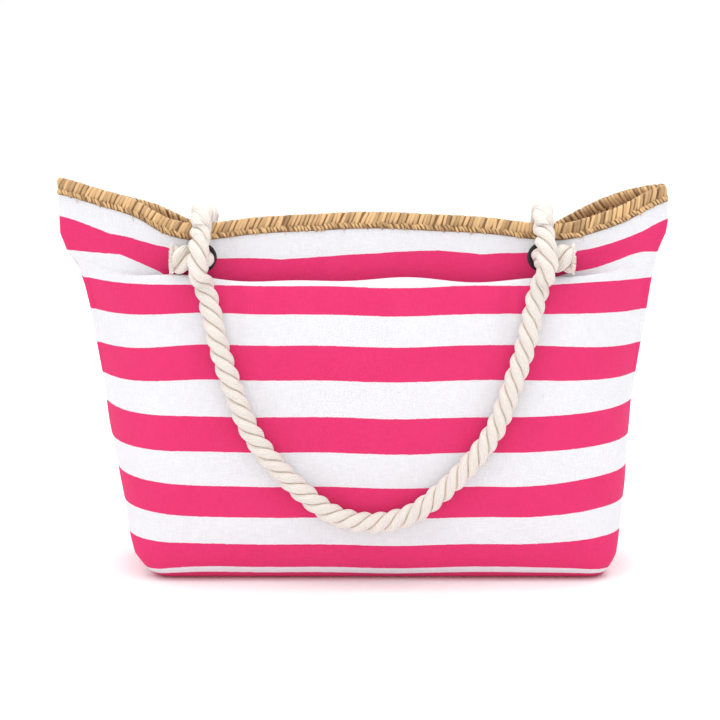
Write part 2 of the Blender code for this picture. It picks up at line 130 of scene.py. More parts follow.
# Printed stripes. On the belly: lower and upper edge at the middle and at the sides, by height.
# In the band above the fold: distance below the fabric edge.
BELLY_STRIPES = (
    ((-0.010, 0.0075), (-0.020, 0.0042)),
    ((0.0138, 0.0367), (0.0090, 0.0420)),
    ((0.0615, 0.0896), (0.0680, 0.0976)),
    ((0.1202, 0.1517), (0.1240, 0.1537)),
    ((0.1840, 0.2143), (0.1790, 0.2067)),
    ((0.2410, 0.2650), (0.2370, 0.2655)),
)
BAND_STRIPE_TOP = (
    (-0.270, 0.0310), (-0.246, 0.0320), (-0.224, 0.0340), (-0.197, 0.0308), (-0.175, 0.0232),
    (-0.150, 0.0235), (-0.131, 0.0288), (-0.073, 0.0358), (-0.020, 0.0348), (0.011, 0.0340),
    (0.050, 0.0300), (0.068, 0.0288), (0.090, 0.0298), (0.104, 0.0305), (0.126, 0.0270), (0.150, 0.0235),
    (0.179, 0.0222), (0.205, 0.0253), (0.228, 0.0262), (0.250, 0.0284), (0.270, 0.0270),
)
# Where the top stripe's lower line runs before the fold hides it: (x, height)
BAND_STRIPE_FOOT = (
    (-0.270, 0.2895), (-0.215, 0.2880), (-0.197, 0.2810), (-0.180, 0.2740), (-0.165, 0.2650),
    (0.150, 0.2640), (0.183, 0.2732), (0.205, 0.2768), (0.228, 0.2834), (0.238, 0.2868), (0.250, 0.2885),
    (0.270, 0.2865),
)
# How much higher the visible edge stands than the plain CAD edge: (x, lift)
EDGE_TRIM = {
    "front": (
        (-0.270, 0.0), (-0.246, 0.0050), (-0.224, 0.0090), (-0.197, 0.0085), (-0.175, 0.0), (0.160, 0.0),
        (0.180, -0.0035), (0.205, -0.0045), (0.250, -0.0045), (0.270, -0.0060),
    ),
    "back": (
        (-0.235, 0.0), (-0.187, 0.0055), (-0.160, 0.0020), (-0.140, 0.0), (0.137, 0.0), (0.170, 0.0050),
        (0.205, 0.0070), (0.227, 0.0058), (0.250, 0.0010), (0.270, -0.0060),
    ),
}
FRONT_PLATEAU = 0.0042
# Top of the fold across the front, and the wall behind it where the band starts
CREST_Z = 0.2700
CREST_DEPTH = 0.0500
BAND_DEPTH = 0.0333
BAND_RISE = 0.0155
# Upright creases that the hanging handles pull into the cloth, inside each leg
PULL_SPAN = 0.030
PULL_DEPTH = 0.0020
# Corner radius in plan: at the base, and at the belly where the filled sides have gone round
BASE_PLAN_R = 0.017
BELLY_PLAN_R = 0.062
BELLY_PLAN_Z = 0.060
BACK_STRIPES = tuple(sides for _, sides in BELLY_STRIPES) + ((0.2890, 0.3185),)

# Stripes across the base, at about the pitch of those on the belly
STRIPE_PITCH = 0.0615
STRIPE_HALF = 0.0155
THREAD_PITCH = 0.00075

COLUMNS = 84
STEPS_PER_SPAN = 9
# Spans of the front curve below its crest, and below the bottom of the fold
CREST_SPAN = 11
FOLD_SPAN = 14
UP = np.array([0.0, 0.0, 1.0])


# ---- small tools
def smoothstep(low, high, at):
    share = np.clip((np.asarray(at, float) - low) / (high - low), 0.0, 1.0)
    return share * share * (3.0 - 2.0 * share)


def read_table(table, at):
    heights, values = zip(*table)
    return np.interp(at, heights, values)


def read_softly(table, x, spread, steps):
    """A table's value, averaged over a stretch to either side."""
    shifts = range(-steps, steps + 1)
    return sum(read_table(table, x + spread * shift / steps) for shift in shifts) / len(shifts)


def bell(at, width):
    return np.exp(-((at / width) ** 2))


def between(at, rises, is_full, falls, is_gone):
    """1 from is_full to falls, 0 before rises and after is_gone."""
    return smoothstep(rises, is_full, at) * (1.0 - smoothstep(falls, is_gone, at))


def unit(v):
    return v / np.maximum(np.linalg.norm(v, axis=-1, keepdims=True), 1e-12)


def in_scene(name, data):
    made = bpy.data.objects.new(name, data)
    bpy.context.scene.collection.objects.link(made)
    return made


def new_mesh(name, points, faces, look, uv=None, values=None):
    """A smooth-shaded object; uv and values hold one entry a vertex."""
    mesh = bpy.data.meshes.new(name)
    mesh.from_pydata([tuple(p) for p in np.asarray(points, float)], [], [tuple(f) for f in faces])
    mesh.update()
    if uv is not None:
        layer = mesh.uv_layers.new(name="cloth")
        corner = np.zeros(len(mesh.loops), np.int64)
        mesh.loops.foreach_get("vertex_index", corner)
        layer.data.foreach_set("uv", np.asarray(uv, np.float32)[corner].ravel())
    for key, data in (values or {}).items():
        attribute = mesh.attributes.new(key, "FLOAT", "POINT")
        attribute.data.foreach_set("value", np.asarray(data, np.float32))
    mesh.polygons.foreach_set("use_smooth", [True] * len(mesh.polygons))
    mesh.materials.append(look)
    return in_scene(name, mesh)


def catmull(points, steps):
    """A smooth curve through points (any number of columns), steps to a span."""
    p = np.asarray(points, float)
    fine = []
    for k in range(len(p) - 1):
        before, start = p[max(k - 1, 0)], p[k]
        end, after = p[k + 1], p[min(k + 2, len(p) - 1)]
        for step in range(steps):
            t = step / steps
            bend = 2.0 * before - 5.0 * start + 4.0 * end - after
            twist = 3.0 * start - before - 3.0 * end + after
            fine.append(0.5 * (2.0 * start + (end - before) * t + bend * t * t + twist * t ** 3))
    fine.append(p[-1])
    return np.array(fine)


def sheet_faces(rows, columns, first=0):
    """Quads of a grid numbered row by row, its border in order, and the border one step on."""
    index = np.arange(rows * columns).reshape(rows, columns) + first
    quads = [index[:-1, :-1], index[:-1, 1:], index[1:, 1:], index[1:, :-1]]
    border = np.concatenate([index[0], index[1:, -1], index[-1, -2::-1], index[-2:0:-1, 0]])
    return np.stack(quads, axis=-1).reshape(-1, 4), border, np.roll(border, -1)


def wrapped_faces(rows, columns):
    """Quads of a grid that closes on itself both ways."""
    index = np.arange(rows * columns).reshape(rows, columns)
    down, right = np.roll(index, -1, axis=0), np.roll(index, -1, axis=1)
    return np.stack([index, right, np.roll(down, -1, axis=1), down], axis=-1).reshape(-1, 4)


def straw_faces(start, rings, sides=5):
    """The walls of a thin tube whose rings are numbered from start."""
    faces = []
    for ring in range(rings - 1):
        for k in range(sides):
            a, b = start + ring * sides + k, start + ring * sides + (k + 1) % sides
            faces.append((a, b, b + sides, a + sides))
    return faces


def lengths_along(points):
    return np.concatenate([[0.0], np.cumsum(np.linalg.norm(np.diff(points, axis=0), axis=1))])


def evenly(points, count):
    along = lengths_along(points)
    goal = np.linspace(0.0, along[-1], count)
    return np.stack([np.interp(goal, along, points[:, k]) for k in range(3)], axis=1)


# ---- shape of the bag
def edge_height(side, x):
    """Height of the fabric edge at x, as in the CAD."""
    x = np.asarray(x, float)
    half = CAD_WIDTH[-1][1]
    handle = HANDLES[side]
    table = (
        (-half, CORNER_EDGE_Z),
        (handle["legs"][0], handle["edges"][0]),
        (0.5 * sum(handle["legs"]), handle["middle"]),
        (handle["legs"][1], handle["edges"][1]),
        (half, CORNER_EDGE_Z),
    )
    softened = read_softly(table, x, EDGE_SOFTNESS, 5)
    near_corner = smoothstep(half - 2.0 * EDGE_SOFTNESS, half - EDGE_SOFTNESS, abs(x))
    return softened + (read_table(table, x) - softened) * near_corner


def corner_arc(way, radius):
    """Going round a quarter circle: how far in, how far out, and how far past its end."""
    angle = np.clip(way / radius, 0.0, 0.5 * math.pi)
    past = np.maximum(way - 0.5 * math.pi * radius, 0.0)
    return radius * (1.0 - np.cos(angle)), radius * np.sin(angle), past


def box_section(half_width, depth, way, corner_r):
    side_run = depth - corner_r
    inward, outward, past = corner_arc(way - side_run, corner_r)
    return half_width - inward - past, np.minimum(way, side_run) + outward


def lens_section(half_width, depth, way):
    inward, outward, past = corner_arc(way, MOUTH_CORNER_R)
    x = half_width - inward - past
    inside = np.clip(x / (half_width - MOUTH_CORNER_R), 0.0, 1.0)
    return x, outward + (depth - MOUTH_CORNER_R) * (1.0 - inside ** MOUTH_CURVE_POWER)


def section(half_width, depth, height, share, corner_r):
    """x and y of the outer face for shares of the way round from the seam to the middle."""
    depth_here = np.maximum(depth, corner_r + 0.001)
    box_length = depth_here - 2.0 * corner_r + 0.5 * math.pi * corner_r + half_width
    lens_length = half_width - MOUTH_CORNER_R + 0.5 * math.pi * MOUTH_CORNER_R
    blend = smoothstep(BOX_ENDS_Z, LENS_STARTS_Z, height)
    lens = lens_section(half_width, depth, share * lens_length)
    box = box_section(half_width, depth_here, share * box_length, corner_r)
    return [np.maximum(b + (c - b) * blend, 0.0) for b, c in zip(box, lens)]


def row_height(side, height, x):
    corner_band = np.maximum(0.0, (height - FOLD_Z) / (CENTRE_EDGE_Z - FOLD_Z))
    sag_z = HANDLES[side]["sag_z"]
    sag_band = np.maximum(0.0, (height - sag_z) / (CENTRE_EDGE_Z - sag_z))
    raised = height + corner_band * (CORNER_EDGE_Z - CENTRE_EDGE_Z)
    return raised - sag_band * (CORNER_EDGE_Z - edge_height(side, x))


def cad_wall(side, row, share, mirror):
    """Points of the CAD's outer face, for resting the rope on."""
    height, depth = row[0], row[1] if side == "front" else row[2]
    x, y = section(read_table(CAD_WIDTH, height), depth, height, share, BASE_CORNER_R)
    x = x * mirror
    lift = SIDE_LIFT * (1.0 - share) ** 2 * smoothstep(0.0, BOX_ENDS_Z, height)
    return np.stack([x, HANDLES[side]["sign"] * y, row_height(side, height, x) + lift], axis=-1)


def wall_depth(side, x, z):
    ends = []
    for row in (WALL_PROFILE[-3], WALL_PROFILE[-1]):
        reach = read_table(CAD_WIDTH, row[0]) - MOUTH_CORNER_R
        curve = 1.0 - (abs(x) / reach) ** MOUTH_CURVE_POWER
        depth = row[1] if side == "front" else row[2]
        ends.append((row_height(side, row[0], x), MOUTH_CORNER_R + (depth - MOUTH_CORNER_R) * curve))
    (low, low_depth), (high, high_depth) = ends
    return low_depth + (high_depth - low_depth) * (z - low) / (high - low)


def wall_at(side, x, drop):
    """Middle of the wall's thickness and its outward direction, a drop below the fabric edge."""
    probe = 0.008
    sign = HANDLES[side]["sign"]
    z = edge_height(side, x) - drop
    lean = (wall_depth(side, x, z + probe) - wall_depth(side, x, z - probe)) / (2.0 * probe)
    swing = (wall_depth(side, x + probe, z) - wall_depth(side, x - probe, z)) / (2.0 * probe)
    normal = unit(np.array([-swing, sign, -lean], float))
    return np.array([x, sign * wall_depth(side, x, z), z], float) - normal * (0.5 * WALL_T), normal


def hole_frame(side, leg):
    return wall_at(side, HANDLES[side]["legs"][leg], HOLE_DROP - AXIS_ABOVE_EDGE)


def column_shares():
    """Shares of the way from seam to middle, closer together near the seams, and the side each is on."""
    even = np.linspace(0.0, 1.0, COLUMNS + 1)
    half = 0.55 * even ** 2 + 0.45 * even
    share = np.concatenate([half, half[::-1][1:]])
    mirror = np.concatenate([-np.ones(COLUMNS + 1), np.ones(COLUMNS)])
    return share, mirror


def edge_trim(side, x):
    """How much higher the visible edge stands than the CAD edge; nothing at the handles."""
    spread = 0.009 * (1.0 - smoothstep(0.245, 0.262, abs(x)))
    trim = read_softly(EDGE_TRIM[side], x, spread, 3)
    if side == "front":
        first, last = HANDLES[side]["legs"]
        u = np.clip((2.0 * x - first - last) / (last - first), -1.0, 1.0)
        trim = trim + FRONT_PLATEAU * 4.0 * u * u * (1.0 - u * u)
    return trim


def fold_amount(x):
    """How far the fold across the front is closed: fully between the handles, not at all at the seams."""
    left = smoothstep(-0.262, -0.150, x)
    right = 1.0 - smoothstep(0.150, 0.256, x)
    return np.minimum(left, right)


def front_curve(x):
    """(depth, height, row height) down the front at each x: belly, crest, fold and band, bottom up."""
    edge = edge_height("front", x) + SIDE_LIFT * smoothstep(0.22, 0.268, abs(x)) + edge_trim("front", x)
    closed = fold_amount(x)
    drop = 0.010 + 0.32 * (CORNER_EDGE_Z - edge)
    wave = 0.0016 * np.sin(x / 0.031 + 0.8) + 0.0012 * np.sin(x / 0.017 - 1.0)
    crest = CREST_Z + wave
    low = crest - drop
    full = np.ones_like(x)
    rows = [(row[1] * full, row[0] * full, row[0]) for row in WALL_PROFILE[:9]]
    rows += [(0.0602 * full, 0.2420 * full, 0.2420)]
    rows += [(0.0555 * full, 0.2580 * full + 0.6 * wave, 0.2540)]
    rows += [(0.0502 * full, crest - 0.0012, 0.2600)]
    folded = (
        (0.0446, crest - 0.0020),
        (0.0405, low + 0.0060),
        (0.0370, low),
        (0.0342, low + 0.0055),
    )
    open_top = low + 0.020
    for k, (depth, height) in enumerate(folded):
        way = (k + 1) / 5.0
        straight_depth = CREST_DEPTH + (BAND_DEPTH - CREST_DEPTH) * way
        straight_height = crest - 0.0012 + 0.0140 * way
        depth = straight_depth + (depth - straight_depth) * closed
        height = straight_height + (height - straight_height) * closed
        rows.append((depth, height, 0.2600 + 0.014 * way))
    band_start = crest + BAND_RISE + (open_top - crest - BAND_RISE) * closed
    for way, depth in ((0.0, BAND_DEPTH), (0.35, 0.0322), (0.75, 0.0309), (1.0, 0.0300)):
        rows.append((depth * full, band_start + (edge - band_start) * way, 0.2740 + 0.0525 * way))
    return rows


def soft_dents(side, x, z):
    """Shallow slack in the cloth, always inwards."""
    lower = between(z, 0.02, 0.07, 0.235, 0.262)
    slack = 0.0011 * (0.5 + 0.5 * np.sin(x / 0.034 + z / 0.060 + 0.4)) ** 2
    slack = slack + 0.0009 * (0.5 + 0.5 * np.sin(x / 0.055 - z / 0.024 + 1.9)) ** 2
    slack = slack + 0.0006 * (0.5 + 0.5 * np.sin(x / 0.014 + z / 0.017 + 2.0 * np.sin(x / 0.08))) ** 3
    depth = slack * lower
    for leg in HANDLES[side]["legs"]:
        inward = -math.copysign(PULL_SPAN, leg)
        pull = bell(x - leg - inward, 0.0065)
        pull = pull + 0.5 * bell(x - leg - 0.6 * inward, 0.0045)
        depth = depth + PULL_DEPTH * pull * between(z, 0.205, 0.245, 0.259, 0.268)
        near = bell(x - leg, 0.030)
        fan = 0.5 + 0.5 * np.cos((x - leg) / 0.0052 + 0.9)
        depth = depth + 0.0007 * near * fan * between(z, 0.268, 0.282, 0.296, 0.310)
    return depth


def wall_grid(side):
    """Points of the outer face of one wall, seam to seam, bottom row first."""
    share, mirror = column_shares()
    sign = HANDLES[side]["sign"]
    corner_x = CAD_WIDTH[-1][1]
    if side == "front":
        x_top, _ = section(corner_x, 0.030, CENTRE_EDGE_Z, share, BASE_PLAN_R)
        guide = front_curve(x_top * mirror)
        depth = catmull([r[0] for r in guide], STEPS_PER_SPAN)
        height = catmull([r[1] for r in guide], STEPS_PER_SPAN)
        plain = catmull([[r[2]] for r in guide], STEPS_PER_SPAN)[:, 0]
    else:
        guide = [(row[2], row[0]) for row in WALL_PROFILE[:10]]
        guide += [(0.0437, 0.2680), (0.0387, 0.2900), (0.0353, 0.3125), (0.0330, 0.3265)]
        fine = catmull(guide, STEPS_PER_SPAN)
        depth = np.repeat(fine[:, :1], len(share), axis=1)
        plain = fine[:, 1]
        height = None
    rows = []
    for k, level in enumerate(plain):
        seam_lift = SIDE_LIFT * smoothstep(0.0, BOX_ENDS_Z, level)
        if height is None:
            trim_share = smoothstep(0.22, CENTRE_EDGE_Z, level)
            ends = edge_trim(side, mirror * corner_x)
            seam_z = row_height(side, level, corner_x) + seam_lift + ends * trim_share
        else:
            seam_lift = seam_lift * (1.0 - smoothstep(0.235, 0.290, level))
            seam_z = np.where(mirror < 0, height[k][0], height[k][-1]) + seam_lift
        left, right = (read_table(SIDE_RUN[hand], seam_z) for hand in (-1, 1))
        half_width = np.where(mirror < 0, left, right)
        rounding = BASE_PLAN_R + (BELLY_PLAN_R - BASE_PLAN_R) * smoothstep(0.0, BELLY_PLAN_Z, level)
        x, y = section(half_width, depth[k], level, share, np.minimum(rounding, depth[k] - 0.006))
        x = x * mirror
        if height is None:
            z = row_height(side, level, x) + edge_trim(side, x) * trim_share
        else:
            z = height[k]
        z = z + seam_lift * (1.0 - share) ** 2
        rows.append(np.stack([x, sign * y, z], axis=-1))
    grid = np.array(rows)
    normals = grid_normals(grid, side)
    dents = soft_dents(side, grid[..., 0], grid[..., 2])
    dents = dents * smoothstep(0.0, 0.12, share)[None, :]
    return grid - normals * dents[..., None]


def grid_normals(grid, side):
    up = np.gradient(grid, axis=0)
    along = np.gradient(grid, axis=1)
    normals = unit(np.cross(up, along) * HANDLES[side]["sign"])
    for column, outward in ((0, -1.0), (-1, 1.0)):
        rise = up[:, column]
        slope = -outward * rise[:, 0] / rise[:, 2]
        sideways = np.stack([np.full(len(rise), outward), np.zeros(len(rise)), slope], axis=-1)
        normals[:, column] = unit(sideways)
    return normals


def ink_distance(side, grid):
    """How far inside a pink stripe each point is, below zero in the white, in metres."""
    x, z = grid[..., 0], grid[..., 2]
    ink = np.full(x.shape, -1.0)
    outer = smoothstep(0.13, 0.245, abs(x))
    wobble = 0.0008 * np.sin(x / 0.043 + 1.0) + 0.0005 * np.sin(x / 0.019)
    stripes = BELLY_STRIPES if side == "front" else zip(BACK_STRIPES, BACK_STRIPES)
    for (low, high), (side_low, side_high) in stripes:
        bottom = low + (side_low - low) * outer
        top = high + (side_high - high) * outer
        ink = np.maximum(ink, np.minimum(z + wobble - bottom, top - z - wobble))
    if side == "back":
        return ink
    rows = np.arange(len(grid))[:, None] * np.ones(x.shape[1])
    crest_row, fold_row = CREST_SPAN * STEPS_PER_SPAN, FOLD_SPAN * STEPS_PER_SPAN
    below = z[-1][None, :] - z
    foot = read_table(BAND_STRIPE_FOOT, x) + 0.3 * wobble
    band = np.minimum(below - read_table(BAND_STRIPE_TOP, x), z - foot)
    hidden = np.minimum(z - foot, 0.002) - 0.020 * smoothstep(0.0, 0.4, fold_amount(x))
    return np.where(rows >= fold_row, band, np.where(rows > crest_row, hidden, ink))


def cloth_lengths(grid):
    """Flat coordinates of a grid, in metres: across and up the cloth."""
    runs = []
    for axis, start in ((1, ((0, 0), (1, 0))), (0, ((1, 0), (0, 0)))):
        steps = np.linalg.norm(np.diff(grid, axis=axis), axis=2)
        runs.append(np.pad(np.cumsum(steps, axis=axis), start))
    across, upward = runs
    return np.stack([across - 0.5 * across[:, -1:], upward], axis=-1)


def shell(name, outer, inner, look, ink=None):
    """A closed sheet between two grids."""
    rows, columns = outer.shape[:2]
    quads, border, following = sheet_faces(rows, columns)
    count = rows * columns
    rim = np.stack([border, following, following + count, border + count], axis=-1)
    faces = np.concatenate([quads, quads[:, ::-1] + count, rim[:, ::-1]])
    flat = cloth_lengths(outer).reshape(-1, 2)
    values = None if ink is None else {"ink": np.tile(ink.ravel(), 2)}
    points = np.concatenate([outer.reshape(-1, 3), inner.reshape(-1, 3)])
    return face_outward(new_mesh(name, points, faces, look, np.concatenate([flat, flat]), values))


def face_outward(made):
    """Turns every face so that the closed mesh faces out."""
    bm = bmesh.new()
    bm.from_mesh(made.data)
    bmesh.ops.recalc_face_normals(bm, faces=bm.faces)
    bm.to_mesh(made.data)
    bm.free()
    return made


def punch(panel, side):
    """Opens the two eyelet holes of a panel."""
    for leg in (0, 1):
        centre, normal = hole_frame(side, leg)
        bpy.ops.mesh.primitive_cylinder_add(vertices=64, radius=HOLE_R, depth=0.012)
        cutter = bpy.context.active_object
        turn = Vector(normal).to_track_quat("Z", "Y").to_matrix().to_4x4()
        cutter.matrix_world = Matrix.Translation(Vector(centre)) @ turn
        cut = panel.modifiers.new("hole", "BOOLEAN")
        cut.operation = "DIFFERENCE"
        cut.solver = "EXACT"
        cut.object = cutter
        bpy.context.view_layer.update()
        evaluated = panel.evaluated_get(bpy.context.evaluated_depsgraph_get())
        mesh = bpy.data.meshes.new_from_object(evaluated)
        panel.modifiers.remove(cut)
        panel.data = mesh
        bpy.data.objects.remove(cutter, do_unlink=True)


# ---- materials
def principled(name, roughness, metallic=0.0, sheen=0.0):
    made = bpy.data.materials.new(name)
    made.use_nodes = True
    shader = made.node_tree.nodes["Principled BSDF"]
    shader.inputs["Roughness"].default_value = roughness
    shader.inputs["Metallic"].default_value = metallic
    shader.inputs["Sheen Weight"].default_value = sheen
    shader.inputs["Sheen Roughness"].default_value = 0.5
    return made, shader, made.node_tree


def math_node(tree, operation, first, second=None, third=None, clamp=False):
    made = tree.nodes.new("ShaderNodeMath")
    made.operation = operation
    made.use_clamp = clamp
    for socket, value in zip(made.inputs, (first, second, third)):
        if value is None:
            continue
        if isinstance(value, (int, float)):
            socket.default_value = value
        else:
            tree.links.new(value, socket)
    return made.outputs[0]


def noise_node(tree, vector, scale, detail=2.0, stretch=(1.0, 1.0, 1.0)):
    mapping = tree.nodes.new("ShaderNodeMapping")
    mapping.inputs["Scale"].default_value = stretch
    tree.links.new(vector, mapping.inputs["Vector"])
    made = tree.nodes.new("ShaderNodeTexNoise")
    made.inputs["Scale"].default_value = scale
    made.inputs["Detail"].default_value = detail
    tree.links.new(mapping.outputs["Vector"], made.inputs["Vector"])
    return made.outputs["Fac"]


def mix_colour(tree, factor, first, second, blend="MIX"):
    made = tree.nodes.new("ShaderNodeMix")
    made.data_type = "RGBA"
    made.blend_type = blend
    for socket, value in ((made.inputs[0], factor), (made.inputs[6], first), (made.inputs[7], second)):
        if isinstance(value, (int, float)):
            socket.default_value = value
        elif isinstance(value, tuple):
            socket.default_value = (*value, 1.0)
        else:
            tree.links.new(value, socket)
    return made.outputs[2]


def flat_coordinates(tree):
    uv = tree.nodes.new("ShaderNodeUVMap")
    uv.uv_map = "cloth"
    split = tree.nodes.new("ShaderNodeSeparateXYZ")
    tree.links.new(uv.outputs["UV"], split.inputs[0])
    return uv.outputs["UV"], split.outputs[0], split.outputs[1]


def add_bump(tree, shader, height, distance, strength=1.0):
    bump = tree.nodes.new("ShaderNodeBump")
    bump.inputs["Distance"].default_value = distance
    bump.inputs["Strength"].default_value = strength
    tree.links.new(height, bump.inputs["Height"])
    tree.links.new(bump.outputs["Normal"], shader.inputs["Normal"])


def vertex_value(tree, name):
    made = tree.nodes.new("ShaderNodeAttribute")
    made.attribute_name = name
    return made.outputs["Fac"]


def set_roughness(tree, shader, value, spread, least):
    """Roughness that follows a noise, from least upwards."""
    tree.links.new(math_node(tree, "MULTIPLY_ADD", value, spread, least), shader.inputs["Roughness"])


def set_shaded_colour(tree, shader, colour, brightness):
    """Base colour times a brightness between dark and full; the brightness carries painted shade, on the
    canvas together with the yarn's own unevenness.
    """
    shade = tree.nodes.new("ShaderNodeCombineColor")
    for socket in shade.inputs:
        tree.links.new(brightness, socket)
    tree.links.new(mix_colour(tree, 1.0, colour, shade.outputs[0], "MULTIPLY"), shader.inputs["Base Color"])


def weave_height(tree, across, upward, pitch):
    """Plain weave: threads that go over and under each other in turn."""
    wave = math.pi / pitch
    first = math_node(tree, "SINE", math_node(tree, "MULTIPLY", across, wave))
    second = math_node(tree, "SINE", math_node(tree, "MULTIPLY", upward, wave))
    return math_node(tree, "MULTIPLY", first, second)


def canvas_material(name, stripes):
    made, shader, tree = principled(name, 0.88, sheen=0.02)
    shader.inputs["Specular IOR Level"].default_value = 0.15
    uv, across, upward = flat_coordinates(tree)
    weave = weave_height(tree, across, upward, THREAD_PITCH)
    warp = noise_node(tree, uv, 90.0, 3.0, (14.0, 1.0, 1.0))
    weft = noise_node(tree, uv, 90.0, 3.0, (1.0, 14.0, 1.0))
    slub = math_node(tree, "ADD", warp, weft)
    patch = noise_node(tree, uv, 22.0, 3.0)
    if stripes:
        ragged = math_node(tree, "MULTIPLY", math_node(tree, "SUBTRACT", slub, 1.0), 0.0012)
        edge = math_node(tree, "ADD", vertex_value(tree, "ink"), ragged)
        mask = math_node(tree, "MULTIPLY_ADD", edge, 2500.0, 0.5, clamp=True)
        pink = mix_colour(tree, patch, (0.735, 0.032, 0.146), (0.790, 0.044, 0.178))
        white = mix_colour(tree, patch, (0.785, 0.783, 0.818), (0.835, 0.833, 0.865))
        colour = mix_colour(tree, mask, white, pink)
    else:
        colour = mix_colour(tree, patch, (0.430, 0.018, 0.110), (0.520, 0.026, 0.150))
    fine = math_node(tree, "MULTIPLY_ADD", slub, 0.22, 0.78)
    # Painted shade of the weave: the threads' over and under make the colour a few percent darker and
    # lighter in turn; the slubs above are the yarn's own unevenness.
    weave_shade = math_node(tree, "MULTIPLY_ADD", weave, 0.05, 0.98)
    set_shaded_colour(tree, shader, colour, math_node(tree, "MULTIPLY", fine, weave_shade))
    set_roughness(tree, shader, patch, 0.14, 0.80)
    height = math_node(tree, "ADD", weave, math_node(tree, "MULTIPLY", slub, 1.4))
    add_bump(tree, shader, height, 0.00012)
    return made


def rope_material():
    made, shader, tree = principled("cotton_rope", 0.93, sheen=0.25)
    uv, around, along = flat_coordinates(tree)
    lean = math_node(tree, "MULTIPLY", along, 2.0 * math.pi / 0.0115)
    spin = math_node(tree, "MULTIPLY", around, 22.0 * math.pi)
    yarn = math_node(tree, "SINE", math_node(tree, "ADD", spin, lean))
    fibre = noise_node(tree, uv, 60.0, 4.0, (1.2, 16.0, 1.0))
    patch = noise_node(tree, uv, 9.0, 3.0, (1.0, 8.0, 1.0))
    colour = mix_colour(tree, patch, (0.850, 0.775, 0.705), (0.920, 0.860, 0.800))
    colour = mix_colour(tree, math_node(tree, "MULTIPLY", fibre, 0.35), colour, (0.920, 0.860, 0.790))
    # Painted shade in the grooves between the strands: where a strand turns in towards the rope's core, its
    # colour goes to a dark brown.
    unshaded_share = math_node(tree, "MULTIPLY_ADD", vertex_value(tree, "groove_shade"), 5.0, -2.9, clamp=True)
    colour = mix_colour(tree, unshaded_share, (0.480, 0.350, 0.240), colour)
    # Painted shade between the yarns: the colour darkens by up to a tenth along the yarn spiral.
    set_shaded_colour(tree, shader, colour, math_node(tree, "MULTIPLY_ADD", yarn, 0.05, 0.95))
    height = math_node(tree, "ADD", math_node(tree, "MULTIPLY", yarn, 0.55), fibre)
    add_bump(tree, shader, height, 0.00045)
    return made


def straw_material():
    made, shader, tree = principled("plaited_straw", 0.62)
    uv, _, _ = flat_coordinates(tree)
    grain = noise_node(tree, uv, 900.0, 3.0, (1.0, 0.07, 1.0))
    patch = noise_node(tree, uv, 160.0, 2.0)
    # Painted shade: the straw's tone value runs from a dark brown, standing for shade on the backing and at
    # the edges and ends of each bundle, up to the straw's light colour; it also holds each bundle's own
    # random tone.
    light = mix_colour(tree, vertex_value(tree, "tone_and_shade"), (0.100, 0.040, 0.012), (0.900, 0.590, 0.290))
    worn = mix_colour(tree, math_node(tree, "MULTIPLY", grain, 0.45), light, (0.300, 0.130, 0.035))
    colour = mix_colour(tree, math_node(tree, "MULTIPLY", patch, 0.22), worn, (0.860, 0.590, 0.300))
    tree.links.new(colour, shader.inputs["Base Color"])
    set_roughness(tree, shader, grain, 0.35, 0.42)
    add_bump(tree, shader, grain, 0.00035)
    return made


def metal_material():
    made, shader, tree = principled("dark_plated_metal", 0.38, 1.0)
    speck = noise_node(tree, tree.nodes.new("ShaderNodeTexCoord").outputs["Object"], 900.0, 4.0)
    colour = mix_colour(tree, speck, (0.020, 0.018, 0.022), (0.070, 0.062, 0.066))
    tree.links.new(colour, shader.inputs["Base Color"])
    set_roughness(tree, shader, speck, 0.30, 0.22)
    add_bump(tree, shader, speck, 0.00004)
    return made


def board_material():
    made, shader, tree = principled("pressed_board", 0.9)
    pulp = noise_node(tree, tree.nodes.new("ShaderNodeTexCoord").outputs["Object"], 420.0, 5.0)
    colour = mix_colour(tree, pulp, (0.20, 0.18, 0.15), (0.34, 0.31, 0.27))
    tree.links.new(colour, shader.inputs["Base Color"])
    add_bump(tree, shader, pulp, 0.0001)
    return made


# ---- rope
STRAND_R = 0.00535
STRAND_OFFSET = 0.00415
ROPE_LAY = 0.0425
STRAND_SIDES = 18
RING_STEP = 0.0016
# How far back from the cut end the eyelet grips the rope, and how thin it is there
TO_HOLE = 0.036
TO_AXIS = 0.088
GRIPPED = 0.86
LOBE_BULGE = 0.0045
FRAY_YARNS = 420


def leg_frame(side, leg):
    edge, _ = wall_at(side, HANDLES[side]["legs"][leg], 0.0)
    out = np.array([0.0, HANDLES[side]["sign"], 0.0])
    outer_side = np.array([-1.0 if leg == 0 else 1.0, 0.0, 0.0])
    return edge + UP * AXIS_ABOVE_EDGE, out, outer_side


def leg_route(side, leg):
    hole, through = hole_frame(side, leg)
    centre, out, _ = leg_frame(side, leg)
    start = centre + out * BIGHT_R
    over = hole + through * LEG_OVER_TAIL
    half_way = 0.5 * (start + over) + unit(out + UP) * LEG_BULGE
    return [start, half_way, over, over - UP * ROPE_R]


def rest_cloud(side):
    """Points of the CAD wall close enough together to rest the rope on."""
    share = np.concatenate([np.linspace(1.0 / 3.0, 1.0, 61)] * 2)
    mirror = np.concatenate([-np.ones(61), np.ones(61)])
    rows = []
    for low, high in zip(WALL_PROFILE, WALL_PROFILE[1:]):
        steps = max(1, round((high[0] - low[0]) / 0.003))
        for step in range(steps):
            row = [a + (b - a) * step / steps for a, b in zip(low, high)]
            rows.append(cad_wall(side, row, share, mirror))
    return np.concatenate(rows)


def resting_depth(cloud, x, z):
    reach = ROPE_R + 0.0013
    room = reach ** 2 - (cloud[:, 0] - x) ** 2 - (cloud[:, 2] - z) ** 2
    touching = room > 0.0
    if not touching.any():
        return 0.0
    return float((abs(cloud[touching, 1]) + np.sqrt(room[touching])).max())


